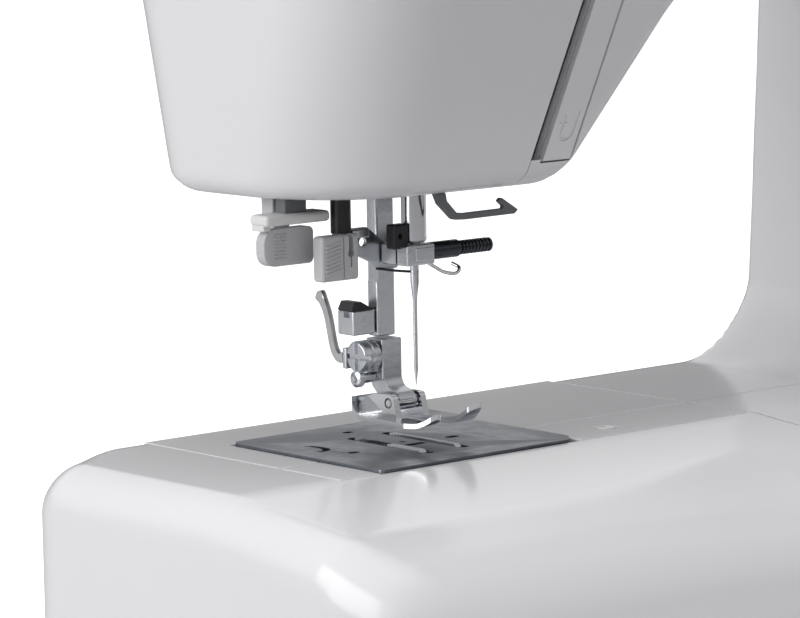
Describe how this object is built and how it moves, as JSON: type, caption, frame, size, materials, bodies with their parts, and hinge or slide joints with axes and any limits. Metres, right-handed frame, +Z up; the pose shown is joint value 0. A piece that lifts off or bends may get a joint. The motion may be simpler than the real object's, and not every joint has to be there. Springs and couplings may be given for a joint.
{
  "type": "sewing machine",
  "caption": "Domestic free-arm sewing machine with flat-bed extension table, top-acting needle and presser group, folding handle and side handwheel.",
  "frame": {"origin": "middle of the machine's bounding box, on the surface it stands on", "axes": "+X from the needle towards the handwheel, +Y from the user's side to the back, +Z up"},
  "size_m": [0.395, 0.16, 0.2992],
  "materials": {
    "shell": "high gloss injection moulded casing",
    "panel": "gloss moulded guide panel",
    "white_trim": "satin moulded trim",
    "grey_trim": "satin moulded grey",
    "dark_plastic": "satin black",
    "steel": "polished plated steel",
    "plate_steel": "brushed blue-grey steel",
    "iron": "machined cast iron",
    "rubber": "matte rubber",
    "alloy": "die-cast motor housing"
  },
  "bodies": {
    "frame": {"base_tray": "shell", "front_casing": "shell", "rear_casing": "shell", "face_cover": "shell", "free_arm_shell": "shell", "free_arm_cover": "shell", "shuttle_cover": "shell", "needle_plate": "plate_steel", "head_floor": "dark_plastic", "motor": "alloy", "timing_belt": "rubber", "motor_belt": "rubber", "bed_plug": "white_trim", "power_inlet": "dark_plastic", "foot_front_left": "rubber", "foot_rear_left": "rubber", "foot_front_right": "rubber", "foot_rear_right": "rubber", "bobbin_case": "steel", "lamp": "white_trim", "thread_guide_panel": "panel", "lever_bracket": "white_trim", "thread_hook": "grey_trim"},
    "extension_table": {"extension_table": "shell"},
    "accessory_flap": {"accessory_flap": "shell"},
    "needle_bar": {"needle_bar": "steel", "needle_clamp": "steel", "needle": "steel", "needle_thread_guide": "steel", "connecting_rod": "iron"},
    "needle_clamp_screw": {"needle_clamp_screw": "steel"},
    "presser_bar": {"presser_bar": "iron", "presser_ankle": "steel", "bar_block": "steel", "foot_pin": "steel"},
    "presser_foot": {"presser_foot": "steel"},
    "ankle_screw": {"ankle_screw": "steel"},
    "release_lever": {"release_lever": "steel"},
    "threader": {"threader_rod": "dark_plastic", "threader_lever": "grey_trim", "threader_carrier": "steel"},
    "buttonhole_lever": {"buttonhole_lever": "grey_trim"},
    "feed_bar": {"feed_bar": "iron"},
    "feed_dog": {"feed_dog": "steel"},
    "presser_lifter": {"presser_lifter": "dark_plastic"},
    "take_up_lever": {"take_up_lever": "steel"},
    "main_shaft": {"main_shaft": "steel", "handwheel": "shell"},
    "lower_shaft": {"lower_shaft": "steel"},
    "motor_pulley": {"motor_pulley": "steel"},
    "shuttle_hook": {"shuttle_hook": "steel"},
    "bobbin": {"bobbin": "steel"},
    "stitch_dial": {"stitch_dial": "grey_trim"},
    "length_dial": {"length_dial": "grey_trim"},
    "tension_dial": {"tension_dial": "grey_trim"},
    "reverse_button": {"reverse_button": "grey_trim"},
    "spool_pin": {"spool_pin": "white_trim"},
    "winder_spindle": {"winder_spindle": "white_trim"},
    "carry_handle": {"carry_handle": "shell"},
    "power_switch": {"power_switch": "dark_plastic"}
  },
  "joints": [
    {"name": "table_slide", "type": "slide", "parent": "frame", "child": "extension_table", "axis": [-1, 0, 0], "range_m": [0, 0.19]},
    {"name": "flap_hinge", "type": "hinge", "parent": "extension_table", "child": "accessory_flap", "pos_m": [-0.1035, -0.0792, 0.0153], "axis": [1, 0, 0], "range_deg": [0, 95]},
    {"name": "needle_slide", "type": "slide", "parent": "frame", "child": "needle_bar", "axis": [0, 0, 1], "range_m": [-0.03, 0]},
    {"name": "clamp_screw_turn", "type": "hinge", "parent": "needle_bar", "child": "needle_clamp_screw", "pos_m": [-0.1095, 0.018, 0.1232], "axis": [1, 0, 0], "range_deg": [-180, 180]},
    {"name": "presser_slide", "type": "slide", "parent": "frame", "child": "presser_bar", "axis": [0, 0, 1], "range_m": [-0.0043, 0.002]},
    {"name": "foot_tilt", "type": "hinge", "parent": "presser_bar", "child": "presser_foot", "pos_m": [-0.1175, 0.0221, 0.0877], "axis": [1, 0, 0], "range_deg": [-4, 4], "stiffness_Nm_per_rad": 0.02},
    {"name": "ankle_screw_turn", "type": "hinge", "parent": "presser_bar", "child": "ankle_screw", "pos_m": [-0.1225, 0.0295, 0.0983], "axis": [1, 0, 0], "range_deg": [-180, 180]},
    {"name": "release_press", "type": "hinge", "parent": "presser_bar", "child": "release_lever", "pos_m": [-0.1244, 0.0366, 0.0974], "axis": [1, 0, 0], "range_deg": [-14, 0], "stiffness_Nm_per_rad": 0.05},
    {"name": "threader_slide", "type": "slide", "parent": "frame", "child": "threader", "axis": [0, 0, 1], "range_m": [-0.012, 0], "stiffness_N_per_m": 60, "springref_m": 0.003},
    {"name": "buttonhole_slide", "type": "slide", "parent": "frame", "child": "buttonhole_lever", "axis": [0, 0, 1], "range_m": [-0.022, 0]},
    {"name": "feed_stroke", "type": "slide", "parent": "frame", "child": "feed_bar", "axis": [0, 1, 0], "range_m": [-0.002, 0.002]},
    {"name": "feed_lift", "type": "slide", "parent": "feed_bar", "child": "feed_dog", "axis": [0, 0, 1], "range_m": [-0.0002, 0.0016]},
    {"name": "lifter_turn", "type": "hinge", "parent": "frame", "child": "presser_lifter", "pos_m": [-0.0905, 0.054, 0.161], "axis": [1, 0, 0], "range_deg": [-38.5, 18.2]},
    {"name": "take_up_turn", "type": "hinge", "parent": "frame", "child": "take_up_lever", "pos_m": [-0.0965, 0.004, 0.23], "axis": [1, 0, 0], "range_deg": [0, 80.5]},
    {"name": "handwheel_spin", "type": "hinge", "parent": "frame", "child": "main_shaft", "pos_m": [0.0325, 0.018, 0.238], "axis": [1, 0, 0], "continuous": true},
    {"name": "lower_shaft_spin", "type": "hinge", "parent": "frame", "child": "lower_shaft", "pos_m": [0.0325, 0.048, 0.045], "axis": [1, 0, 0], "continuous": true},
    {"name": "motor_spin", "type": "hinge", "parent": "frame", "child": "motor_pulley", "pos_m": [0.1225, -0.004, 0.036], "axis": [1, 0, 0], "continuous": true},
    {"name": "hook_swing", "type": "hinge", "parent": "frame", "child": "shuttle_hook", "pos_m": [-0.1175, 0.028, 0.0485], "axis": [0, 1, 0], "range_deg": [0, 200.5]},
    {"name": "bobbin_spin", "type": "hinge", "parent": "frame", "child": "bobbin", "pos_m": [-0.1175, 0.01, 0.0485], "axis": [0, 1, 0], "continuous": true},
    {"name": "stitch_dial_turn", "type": "hinge", "parent": "frame", "child": "stitch_dial", "pos_m": [0.0975, -0.032, 0.228], "axis": [0, 1, 0], "continuous": true},
    {"name": "length_dial_turn", "type": "hinge", "parent": "frame", "child": "length_dial", "pos_m": [0.1445, -0.032, 0.174], "axis": [0, 1, 0], "range_deg": [-135, 135]},
    {"name": "tension_dial_turn", "type": "hinge", "parent": "frame", "child": "tension_dial", "pos_m": [-0.0395, -0.032, 0.254], "axis": [0, 1, 0], "range_deg": [-150, 150]},
    {"name": "reverse_press", "type": "slide", "parent": "frame", "child": "reverse_button", "axis": [0, 1, 0], "range_m": [0, 0.004], "stiffness_N_per_m": 300, "springref_m": -0.001},
    {"name": "spool_pin_rise", "type": "slide", "parent": "frame", "child": "spool_pin", "axis": [0, 0, 1], "range_m": [0, 0.045]},
    {"name": "winder_spin", "type": "hinge", "parent": "frame", "child": "winder_spindle", "pos_m": [0.1405, 0.036, 0.288], "axis": [0, 0, 1], "continuous": true},
    {"name": "handle_fold", "type": "hinge", "parent": "frame", "child": "carry_handle", "pos_m": [0.0075, 0.056, 0.2952], "axis": [-1, 0, 0], "range_deg": [0, 95]},
    {"name": "switch_rock", "type": "hinge", "parent": "frame", "child": "power_switch", "pos_m": [0.1675, -0.002, 0.048], "axis": [0, 0, 1], "range_deg": [-6, 6]}
  ],
  "couplings": [
    {"joint": "lifter_turn", "follows": "presser_slide", "rad_per_m": 154.39},
    {"joint": "take_up_turn", "follows": "needle_slide", "rad_per_m": -46.542},
    {"joint": "hook_swing", "follows": "needle_slide", "rad_per_m": -116.36},
    {"joint": "lower_shaft_spin", "follows": "handwheel_spin", "ratio": 1},
    {"joint": "motor_spin", "follows": "handwheel_spin", "ratio": 3.7143}
  ]
}
